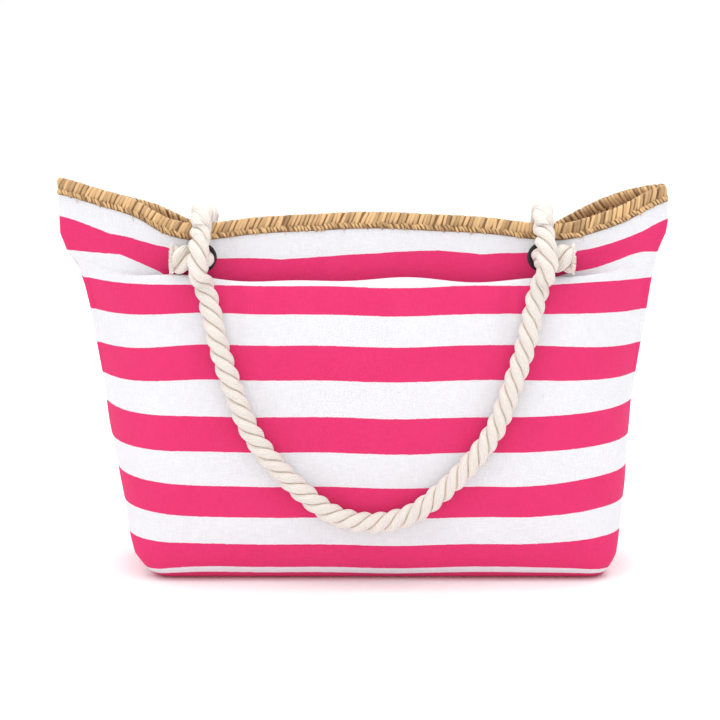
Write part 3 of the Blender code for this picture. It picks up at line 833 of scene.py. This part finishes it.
def loop_path(side):
    """The swinging part of a handle, along the CAD's route."""
    sign = HANDLES[side]["sign"]
    first, last = HANDLES[side]["legs"]
    cloud = rest_cloud(side)
    hanging = []
    for leg, route in ((0, LOOP_ROUTE), (1, LOOP_ROUTE[-2::-1])):
        drop = hole_frame(side, leg)[0][2] - LOOP_LOW_Z
        for share, to_go in route:
            x = first + (last - first) * (share if leg == 0 else 1.0 - share)
            z = LOOP_LOW_Z + drop * to_go
            hanging.append(np.array([x, sign * resting_depth(cloud, x, z), z]))
    path = evenly(catmull(leg_route(side, 0) + hanging + leg_route(side, 1)[::-1], 12), 48)
    for k in range(3, len(path) - 3):
        path[k][1] = sign * max(abs(path[k][1]), resting_depth(cloud, path[k][0], path[k][2]))
    return path


def end_path(side, leg):
    """From the cut tail back through the eyelet and up inside to the axis."""
    hole, through = hole_frame(side, leg)
    centre, out, outer_side = leg_frame(side, leg)
    climb = unit(UP - through * (UP @ through))
    turn_r = BIGHT_R - HOLE_RUN
    inner = hole - through * HOLE_RUN + climb * turn_r
    outer = hole + through * HOLE_RUN + outer_side * turn_r
    path = [outer + through * turn_r + outer_side * TAIL_LENGTH * share for share in (1.0, 0.75, 0.5, 0.25)]
    for angle in np.linspace(0.5 * math.pi, 0.0, 7):
        bulge = LOBE_BULGE * math.sin(2.0 * angle)
        sideways = turn_r * math.cos(angle) + bulge
        path.append(outer - outer_side * sideways + through * turn_r * math.sin(angle))
    for angle in np.linspace(0.5 * math.pi, 0.0, 7):
        path.append(inner - through * turn_r * math.cos(angle) - climb * turn_r * math.sin(angle))
    return path + [centre - out * BIGHT_R - UP * 0.006]


def bight_path(side, leg):
    centre, out, _ = leg_frame(side, leg)
    path = []
    for angle in np.linspace(0.0, math.pi, 13):
        reach = out * -math.cos(angle) + UP * math.sin(angle)
        path.append(centre + reach * BIGHT_R)
    return path


def whole_rope(side):
    """The centreline of one handle rope from cut to cut, evenly spaced, and where its parts begin."""
    left_end, left_bight = end_path(side, 0), bight_path(side, 0)
    right_end, right_bight = end_path(side, 1), bight_path(side, 1)
    loop = list(loop_path(side))
    pieces = [left_end, left_bight, loop[1:-1], right_bight[::-1], right_end[::-1]]
    rough = np.array([p for piece in pieces for p in piece])
    marks = np.cumsum([0] + [len(piece) for piece in pieces])
    along = lengths_along(rough)
    total = along[-1]
    count = round(total / RING_STEP)
    fine = evenly(catmull(rough, 8), count)
    weights = np.exp(-0.5 * (np.arange(-4, 5) / 2.0) ** 2)
    weights = weights / weights.sum()
    smooth = fine.copy()
    padded = np.pad(fine, ((4, 4), (0, 0)), mode="edge")
    for k in range(3):
        smooth[:, k] = np.convolve(padded[:, k], weights, mode="valid")
    smooth[:4], smooth[-4:] = fine[:4], fine[-4:]
    cuts = [int(round(along[min(m, len(along) - 1)] / total * (count - 1))) for m in marks]
    cuts[0], cuts[-1] = 0, count - 1
    return smooth, cuts


def carried_frames(path):
    """Two directions square to the path at each point, carried along without twist."""
    tangent = unit(np.gradient(path, axis=0))
    side = np.zeros_like(path)
    current = np.array([0.3, 0.2, 0.9])
    for k, along in enumerate(tangent):
        current = unit(current - along * (current @ along))
        side[k] = current
    return side, np.cross(tangent, side), tangent


def rope_part(name, path, cuts, first, last, look):
    """The three laid strands of one stretch of the rope, with flared, frayed ends where it is cut."""
    side, other, tangent = carried_frames(path)
    along = lengths_along(path)
    turn = -2.0 * math.pi * along / ROPE_LAY
    to_end = np.minimum(along, along[-1] - along)
    flare = 1.0 + (TAIL_END_R / (STRAND_R + STRAND_OFFSET) - 1.0) * (1.0 - smoothstep(0.010, 0.026, to_end))
    flare = flare + 0.12 * bell(to_end - 0.027, 0.006)
    flare = flare * (1.0 - (1.0 - GRIPPED) * bell(to_end - TO_HOLE, 0.005))
    flare = flare * (1.0 - 0.30 * (1.0 - smoothstep(0.0, 0.0030, to_end)) ** 2)
    smooth = np.exp(-(((to_end - TO_AXIS) / 0.026) ** 4))
    offset = STRAND_OFFSET - 0.0013 * smooth
    strand_r = STRAND_R + 0.0014 * smooth
    points, faces, uv, groove_shade_values = [], [], [], []
    rings = np.arange(cuts[first], cuts[last] + 1)
    around = np.linspace(0.0, 2.0 * math.pi, STRAND_SIDES + 1)
    for strand in range(3):
        angle = turn[rings] + 2.0 * math.pi * strand / 3.0
        outward = side[rings] * np.cos(angle)[:, None] + other[rings] * np.sin(angle)[:, None]
        swing = np.cross(tangent[rings], outward)
        centre = path[rings] + outward * (offset * flare)[rings][:, None]
        radius = (strand_r * flare)[rings][:, None, None]
        spokes = outward[:, None] * np.cos(around)[None, :, None]
        spokes = spokes + swing[:, None] * np.sin(around)[None, :, None]
        ring_points = centre[:, None] + spokes * radius
        start = len(points)
        points.extend(ring_points.reshape(-1, 3))
        # Painted shade in the grooves: how far out from the rope's core each point lies; the material turns
        # the inner faces of the strands dark brown.
        reach = np.linalg.norm(ring_points - path[rings][:, None], axis=-1)
        full_reach = ((offset + strand_r) * flare)[rings][:, None]
        groove_shade_values.extend((reach / full_reach + 0.08 * smooth[rings][:, None]).ravel())
        for r in rings:
            uv.extend((a / (2.0 * math.pi), along[r]) for a in around)
        width = STRAND_SIDES + 1
        walls, _, _ = sheet_faces(len(rings), width, start)
        faces.extend(map(tuple, walls))
        for k, r, turned in ((0, rings[0], True), (len(rings) - 1, rings[-1], False)):
            middle = len(points)
            points.append(centre[k] + tangent[r] * (-0.0006 if turned else 0.0006))
            groove_shade_values.append(0.9)
            uv.append((0.5, along[r]))
            for j in range(STRAND_SIDES):
                a = start + k * width + j
                faces.append((a + 1, a, middle) if turned else (a, a + 1, middle))
    for at_cut, end in ((cuts[first] == 0, 0), (cuts[last] == len(path) - 1, -1)):
        if at_cut:
            add_fray(points, faces, uv, path[end], tangent[end] * (-1.0 if end == 0 else 1.0))
    groove_shade_values.extend([0.97] * (len(points) - len(groove_shade_values)))
    made = new_mesh(name, points, faces, look, uv, {"groove_shade": groove_shade_values})
    return made


def add_fray(points, faces, uv, centre, outward):
    """Short loose yarns over a cut end."""
    chance = np.random.default_rng(7)
    side = unit(np.cross(outward, [0.2, 0.9, 0.3]))
    other = np.cross(outward, side)
    for _ in range(FRAY_YARNS):
        angle, reach = chance.uniform(0.0, 2.0 * math.pi), math.sqrt(chance.uniform(0.0, 1.0))
        spoke = side * math.cos(angle) + other * math.sin(angle)
        root = centre + spoke * reach * TAIL_END_R * 0.86 - outward * 0.0022
        lean = unit(outward + spoke * (0.75 * reach ** 2 + chance.uniform(-0.15, 0.35)))
        length = chance.uniform(0.0020, 0.0046)
        thick = chance.uniform(0.00035, 0.00070)
        square = unit(np.cross(lean, spoke + 0.01 * other))
        flat = np.cross(lean, square)
        start = len(points)
        for way, share in ((0.0, 1.0), (0.6, 0.95), (1.0, 0.45)):
            bend = spoke * (0.0007 * way * way)
            for k in range(5):
                turn = 2.0 * math.pi * k / 5.0
                spread = (square * math.cos(turn) + flat * math.sin(turn)) * thick * share
                points.append(root + lean * length * way + bend + spread)
                uv.append((0.02 * angle, 0.1 * length * way))
        faces.extend(straw_faces(start, 3))
        faces.append(tuple(start + 10 + k for k in range(5)))
        faces.append(tuple(start + k for k in reversed(range(5))))


def build_rope(side, look):
    """One handle: two fixed ends, two bights, and the swinging loop."""
    path, cuts = whole_rope(side)
    names = (f"{side}_left_rope_end", f"{side}_left_rope_bight", f"{side}_rope_handle")
    names += (f"{side}_right_rope_bight", f"{side}_right_rope_end")
    made = [rope_part(f"{name}_look", path, cuts, k, k + 1, look) for k, name in enumerate(names)]
    for piece, name in zip(made, names):
        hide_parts(name)
    for k, leg in ((1, 0), (3, 1)):
        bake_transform(made[k])
    for k in (0, 4):
        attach(made[k], "bag")
    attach(made[2], f"{side}_handle")
    return float(lengths_along(path)[-1])


# ---- straw braid
BRAID_OUT = 0.0008
BRAID_LEG = BRAID_DROP - 0.0008
CROWN_R = 0.5 * WALL_T + BRAID_OUT
STRAY_STRAWS = 34
BRAID_WIDTH = 2.0 * BRAID_LEG + math.pi * CROWN_R


def rim_line(grids, normals):
    """Fabric edge all the way round: points, outward and upward directions, and length along."""
    front, back = grids["front"], grids["back"]
    edge = np.concatenate([front[-1], back[-1][::-1]])
    foot = np.concatenate([front[-8], back[-8][::-1]])
    out = np.concatenate([normals["front"][-1], normals["back"][-1][::-1]])
    up = unit(edge - foot)
    out = unit(out - up * np.sum(out * up, axis=1, keepdims=True))
    closed = [np.concatenate([a, a[:1]]) for a in (edge, out, up)]
    return (*closed, lengths_along(closed[0]))


def braid_point(rim, t, w, lift):
    """Place on the folded braid: t along the rim, w from its outer foot over the top to its inner foot."""
    edge, out, up, along = rim
    t = np.mod(t, along[-1])
    at = [np.stack([np.interp(t, along, a[:, k]) for k in range(3)], axis=-1) for a in (edge, out, up)]
    point, outward, upward = at[0], unit(at[1]), unit(at[2])
    crown = math.pi * CROWN_R
    angle = np.clip((w - BRAID_LEG) / CROWN_R, 0.0, math.pi)
    past = np.maximum(w - BRAID_LEG - crown, 0.0)
    rise = np.minimum(w - BRAID_LEG, 0.0) - past
    across = -0.5 * WALL_T + (CROWN_R + lift) * np.cos(angle)
    over = (CROWN_R + lift) * np.sin(angle)
    return point + outward * across[..., None] + upward * (rise + over + 0.0003)[..., None]


def braid_shade_backing(rim, look):
    """The thin plait under the wisps, which closes the gaps between them; it is coloured with the darkest
    straw tone, as painted shade in those gaps.
    """
    along = rim[3]
    count = 620
    t = np.arange(count) * along[-1] / count
    w = np.linspace(0.0, BRAID_WIDTH, 26)
    rows = []
    for lift, order in ((0.0, 1), (-0.0006, -1)):
        for at in w[::order]:
            rows.append(braid_point(rim, t, np.full(count, at), np.full(count, lift)))
    rows = np.array(rows)
    faces = wrapped_faces(len(rows), count)
    uv = np.stack(np.broadcast_arrays(t[None, :], np.concatenate([w, w[::-1]])[:, None]), axis=-1)
    # All at the darkest tone: painted shade in the gaps between the bundles.
    tone_and_shade = np.zeros(len(rows) * count)
    made = new_mesh("straw_shade_backing", rows.reshape(-1, 3), faces, look, uv.reshape(-1, 2), {"tone_and_shade": tone_and_shade})
    return face_outward(made)


def wisp(rim, start, finish, width, tone_and_shade, lift, store):
    """One flat bundle of straws from start to finish, each (t, w), with a ridge for each straw."""
    points, faces, uv, tones_and_shade = store
    lanes, steps = 13, 9
    way = np.linspace(0.0, 1.0, steps)
    across = np.linspace(-1.0, 1.0, lanes)
    t_line = start[0] + (finish[0] - start[0]) * way
    w_line = start[1] + (finish[1] - start[1]) * way
    bow = np.sin(math.pi * way)
    direction = np.array([finish[0] - start[0], finish[1] - start[1]])
    square = np.array([-direction[1], direction[0]]) / np.linalg.norm(direction)
    half = 0.5 * width * (0.50 + 0.50 * bow ** 0.6)
    t = t_line[:, None] + square[0] * across[None, :] * half[:, None]
    w = w_line[:, None] + square[1] * across[None, :] * half[:, None]
    w = w + 0.0006 * bow[:, None]
    dome = np.sqrt(np.clip(1.0 - across ** 2, 0.0, 1.0))
    ridges = 0.78 + 0.22 * np.abs(np.cos(1.5 * math.pi * across))
    rise = lift * (0.30 + 0.70 * bow)[:, None] * (dome * ridges)[None, :]
    rise = rise + 0.00030 * across[None, :] * bow[:, None]
    top = braid_point(rim, t, w, rise)
    low = braid_point(rim, t, w, np.full_like(t, -0.0002))
    begin = len(points)
    both = np.concatenate([top.reshape(-1, 3), low.reshape(-1, 3)])
    points.extend(both)
    length = float(np.hypot(*direction))
    beside = across[None, :] * half[:, None] + start[0]
    flat = np.stack(np.broadcast_arrays(beside, way[:, None] * length), axis=-1)
    uv.extend(np.concatenate([flat.reshape(-1, 2)] * 2))
    # Painted shade: darker towards the bundle's edges and ends, where it goes under its neighbours,
    # multiplied into its own random tone.
    shade = (0.35 + 0.65 * dome)[None, :] * (0.30 + 0.70 * bow ** 0.5)[:, None]
    tones_and_shade.extend(np.tile((tone_and_shade * shade).ravel(), 2))
    count = lanes * steps
    quads, border, following = sheet_faces(steps, lanes, begin)
    sides = np.stack([border, border + count, following + count, following], axis=-1)
    faces.extend(map(tuple, np.concatenate([quads, quads[:, ::-1] + count, sides])))


def straw_braid(rim, look):
    """Wide row of slanting bundles over the edge, a narrow row against it at each foot."""
    chance = np.random.default_rng(11)
    along = rim[3]
    middle = 0.5 * BRAID_WIDTH
    # w at either end, slant, width, lift and spacing of the bundles of each row
    rows = (
        ("straw_outer_row", 0.0036, middle + 0.0012, 0.0062, 0.0036, 0.0017, 0.0036),
        ("straw_inner_row", BRAID_WIDTH - 0.0036, middle - 0.0012, 0.0062, 0.0036, 0.0016, 0.0036),
        ("straw_outer_foot", 0.0002, 0.0056, -0.0034, 0.0024, 0.0018, 0.0030),
        ("straw_inner_foot", BRAID_WIDTH - 0.0002, BRAID_WIDTH - 0.0056, -0.0034, 0.0024, 0.0016, 0.0030),
    )
    made = []
    for name, w_start, w_finish, slant, width, lift, spacing in rows:
        store = ([], [], [], [])
        count = round(along[-1] / spacing)
        for k in range(count):
            t = along[-1] * k / count + chance.normal(0.0, 0.00045)
            jitter = chance.normal(0.0, 0.0006)
            lean = slant + chance.normal(0.0, 0.0009)
            tone_and_shade = float(np.clip(chance.normal(0.88, 0.27), 0.25, 1.30))
            wide = width * chance.uniform(0.88, 1.15)
            high = lift * chance.uniform(0.85, 1.12)
            wisp(rim, (t, w_start + jitter), (t + lean, w_finish + jitter), wide, tone_and_shade, high, store)
        points, faces, uv, tones_and_shade = store
        piece = new_mesh(name, points, faces, look, uv, {"tone_and_shade": tones_and_shade})
        made.append(face_outward(piece))
    return made


def stray_straws(rim, look):
    """Loose straw ends that stick out below the braid here and there."""
    chance = np.random.default_rng(23)
    along = rim[3]
    points, faces, uv, tones_and_shade = [], [], [], []
    for _ in range(STRAY_STRAWS):
        t = chance.uniform(0.0, along[-1])
        outer = chance.uniform() < 0.7
        foot = 0.0015 if outer else BRAID_WIDTH - 0.0015
        down = -1.0 if outer else 1.0
        length = chance.uniform(0.0030, 0.0065)
        lean = chance.uniform(-0.5, 0.5)
        tone_and_shade = float(chance.uniform(0.35, 0.95))
        begin = len(points)
        for step in range(6):
            way = step / 5.0
            place = (t + lean * length * way, foot + down * length * way)
            off = 0.0006 + 0.0010 * way
            thick = 0.00042 * (1.0 - 0.75 * way)
            for k in range(5):
                turn = 2.0 * math.pi * k / 5.0
                at = (place[0] + thick * math.cos(turn), place[1], off + thick * math.sin(turn))
                points.append(braid_point(rim, *(np.array([value]) for value in at))[0])
                uv.append((k / 5.0 * 0.001 + t, length * way))
                tones_and_shade.append(tone_and_shade)
        faces.extend(straw_faces(begin, 6))
        faces.append(tuple(begin + k for k in reversed(range(5))))
        faces.append(tuple(begin + 25 + k for k in range(5)))
    return face_outward(new_mesh("stray_straws", points, faces, look, uv, {"tone_and_shade": tones_and_shade}))


# ---- metal and base
def revolve(name, profile, centre, axis, look, steps=96):
    turn = np.array(Vector(axis).to_track_quat("Z", "Y").to_matrix())
    profile = np.asarray(profile, float)
    angle = np.linspace(0.0, 2.0 * math.pi, steps, endpoint=False)
    rings = []
    for a in angle:
        local = np.stack([profile[:, 0] * math.cos(a), profile[:, 0] * math.sin(a), profile[:, 1]], axis=1)
        rings.append(centre + local @ turn.T)
    rings = np.array(rings)
    faces = wrapped_faces(*rings.shape[:2])
    made = face_outward(new_mesh(name, rings.reshape(-1, 3), faces, look))
    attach(made, "bag")
    return made


def rounded(corners, radius, steps=5):
    """A closed outline with its corners rounded."""
    corners = np.asarray(corners, float)
    outline = []
    for k, corner in enumerate(corners):
        before, after = corners[k - 1], corners[(k + 1) % len(corners)]
        reach = min(radius, 0.45 * np.linalg.norm(before - corner), 0.45 * np.linalg.norm(after - corner))
        first = corner + unit(before - corner) * reach
        last = corner + unit(after - corner) * reach
        for way in np.linspace(0.0, 1.0, steps):
            outline.append((1 - way) ** 2 * first + 2 * way * (1 - way) * corner + way ** 2 * last)
    return outline


def eyelets(look):
    """An eyelet with a curled foot, and the washer behind it, in each of the four holes."""
    seat = 0.5 * WALL_T
    barrel = [
        (EYELET_BORE_R, -seat - 0.0019),
        (CURL_R, -seat - 0.0019),
        (CURL_R, -seat - 0.0012),
        (0.0101, -seat - 0.0009),
        (0.0101, seat),
        (0.0132, seat - 0.0001),
        (0.0130, seat + 0.0006),
        (CURL_R, seat + 0.0013),
        (0.0098, seat + 0.0011),
        (EYELET_BORE_R, seat + 0.0002),
    ]
    ring = [(0.0105, -seat - 0.0008), (0.0132, -seat - 0.0007), (0.0132, -seat), (0.0105, -seat)]
    for side in HANDLES:
        for leg, hand in ((0, "left"), (1, "right")):
            centre, normal = hole_frame(side, leg)
            for kind, outline, radius in (("eyelet", barrel, 0.0005), ("washer", ring, 0.0003)):
                node = f"{side}_{hand}_{kind}"
                made = revolve(f"{node}_look", rounded(outline, radius), centre, normal, look)
                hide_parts(node)


def flat_piece(node, outline, low, thickness, look, striped=False):
    """A flat sheet within an outline, as a fan of rings so that its pattern has places to hold."""
    levels = []
    scales = np.linspace(1.0, 0.02, 24)
    for z in (low + thickness, low):
        for scale in scales:
            levels.append(np.column_stack([outline * scale, np.full(len(outline), z)]))
    n, m = len(scales), len(outline)
    points = np.concatenate(levels)
    index = np.arange(n * m).reshape(n, m)
    right = np.roll(index, -1, axis=1)
    quads = np.stack([index[:-1], right[:-1], right[1:], index[1:]], axis=-1).reshape(-1, 4)
    under = quads[:, ::-1] + n * m
    rim = np.stack([index[0], index[0] + n * m, right[0] + n * m, right[0]], axis=-1)
    middle = [tuple(index[-1]), tuple((index[-1] + n * m)[::-1])]
    faces = [tuple(f) for f in np.concatenate([quads, under, rim])] + middle
    values = None
    if striped:
        half_pitch = 0.5 * STRIPE_PITCH
        from_stripe = np.abs(np.mod(points[:, 1] + half_pitch, STRIPE_PITCH) - half_pitch)
        values = {"ink": STRIPE_HALF - from_stripe}
    made = face_outward(new_mesh(f"{node}_look", points, faces, look, points[:, :2], values))
    made.data.polygons.foreach_set("use_smooth", [False] * len(made.data.polygons))
    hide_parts(node)
    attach(made, "bag")


FOOT_INSET = 0.0012
BOARD_INSET = 0.0022


def base_outline(grids, inset):
    """The foot of the walls, drawn in."""
    around = np.concatenate([grids["front"][0], grids["back"][0][::-1]])[:, :2]
    along = np.roll(around, -1, axis=0) - np.roll(around, 1, axis=0)
    inward = unit(np.stack([-along[:, 1], along[:, 0]], axis=-1))
    return around + inward * inset


# ---- camera, light and floor
CAMERA_ELEVATION = math.radians(12.0)
CAMERA_DISTANCE = 2.30
CAMERA_AIM = Vector((-0.0027, 0.0, 0.188))
# Width of the picture at the front of the bag, and how much nearer than the aim that is
PICTURE_WIDTH = 0.637
FRONT_AHEAD = 0.045


def make_camera():
    data = bpy.data.cameras.new("camera")
    data.sensor_width = 36.0
    data.lens = data.sensor_width * (CAMERA_DISTANCE - FRONT_AHEAD) / PICTURE_WIDTH
    made = in_scene("camera", data)
    back = Vector((0.0, -math.cos(CAMERA_ELEVATION), math.sin(CAMERA_ELEVATION)))
    made.location = CAMERA_AIM + back * CAMERA_DISTANCE
    made.rotation_euler = (math.radians(90.0) - CAMERA_ELEVATION, 0.0, 0.0)
    bpy.context.scene.camera = made


def area_light(name, place, size, power, aim=(0.0, 0.0, 0.17)):
    data = bpy.data.lights.new(name, "AREA")
    data.size = size
    data.energy = power
    made = in_scene(name, data)
    made.location = place
    made.rotation_euler = (Vector(aim) - Vector(place)).to_track_quat("-Z", "Y").to_euler()


def make_stage():
    world = bpy.context.scene.world or bpy.data.worlds.new("world")
    bpy.context.scene.world = world
    world.use_nodes = True
    sky = world.node_tree.nodes["Background"]
    sky.inputs["Color"].default_value = (1.0, 1.0, 1.0, 1.0)
    sky.inputs["Strength"].default_value = 1.0
    bpy.context.scene.view_settings.view_transform = "Standard"
    area_light("key", (-0.9, -1.6, 1.7), 1.0, 2.5)
    area_light("top", (0.0, 0.1, 2.6), 3.0, 45.0)
    size = 30.0
    floor_look, shader, _ = principled("pale_floor", 0.95)
    shader.inputs["Base Color"].default_value = (1.0, 1.0, 1.0, 1.0)
    corners = [(-size, -size, 0.0), (size, -size, 0.0), (size, size, 0.0), (-size, size, 0.0)]
    floor = new_mesh("floor", corners, [(0, 1, 2, 3)], floor_look)
    floor.location.z = -0.0002


def build_cloth(canvas, lining):
    """Both walls, each a canvas over a lining; returns their outer faces and normals."""
    grids, normals = {}, {}
    for side in HANDLES:
        grid = wall_grid(side)
        normal = grid_normals(grid, side)
        grids[side], normals[side] = grid, normal
        ink = ink_distance(side, grid)
        outer = shell(f"{side}_canvas_look", grid, grid - normal * CANVAS_T, canvas, ink)
        start = CANVAS_T + LAYER_GAP
        first = STEPS_PER_SPAN
        inner_grid, inner_normal = grid[first:], normal[first:]
        inner = shell(
            f"{side}_lining_look",
            inner_grid - inner_normal * start,
            inner_grid - inner_normal * (start + LINING_T),
            lining,
        )
        for made, node, slot in (
            (outer, f"{side}_canvas", "striped_canvas"),
            (inner, f"{side}_lining", "pink_lining"),
        ):
            punch(made, side)
            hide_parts(node)
            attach(made, "bag")
    return grids, normals


def build_base(grids, canvas, lining):
    """Striped canvas, stiff board and lining, one on the other."""
    foot, inside = base_outline(grids, FOOT_INSET), base_outline(grids, BOARD_INSET)
    board_z = CANVAS_T + LAYER_GAP
    lining_z = board_z + BOARD_T + LAYER_GAP
    flat_piece("base_canvas", foot, 0.0, CANVAS_T, canvas, True)
    flat_piece("base_board", inside, board_z, BOARD_T, board_material())
    flat_piece("base_lining", inside, lining_z, LINING_T, lining)


def main():
    make_camera()
    rope = rope_material()
    lengths = {side: build_rope(side, rope) for side in HANDLES}
    print("rope lengths", {side: round(value, 3) for side, value in lengths.items()})
    canvas, lining = canvas_material("striped_canvas", True), canvas_material("pink_lining", False)
    grids, normals = build_cloth(canvas, lining)
    straw = straw_material()
    rim = rim_line(grids, normals)
    shade_backing = braid_shade_backing(rim, straw)
    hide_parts("straw_braid_rim")
    for piece in [shade_backing] + straw_braid(rim, straw) + [stray_straws(rim, straw)]:
        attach(piece, "bag")
    eyelets(metal_material())
    build_base(grids, canvas, lining)
    make_stage()


main()
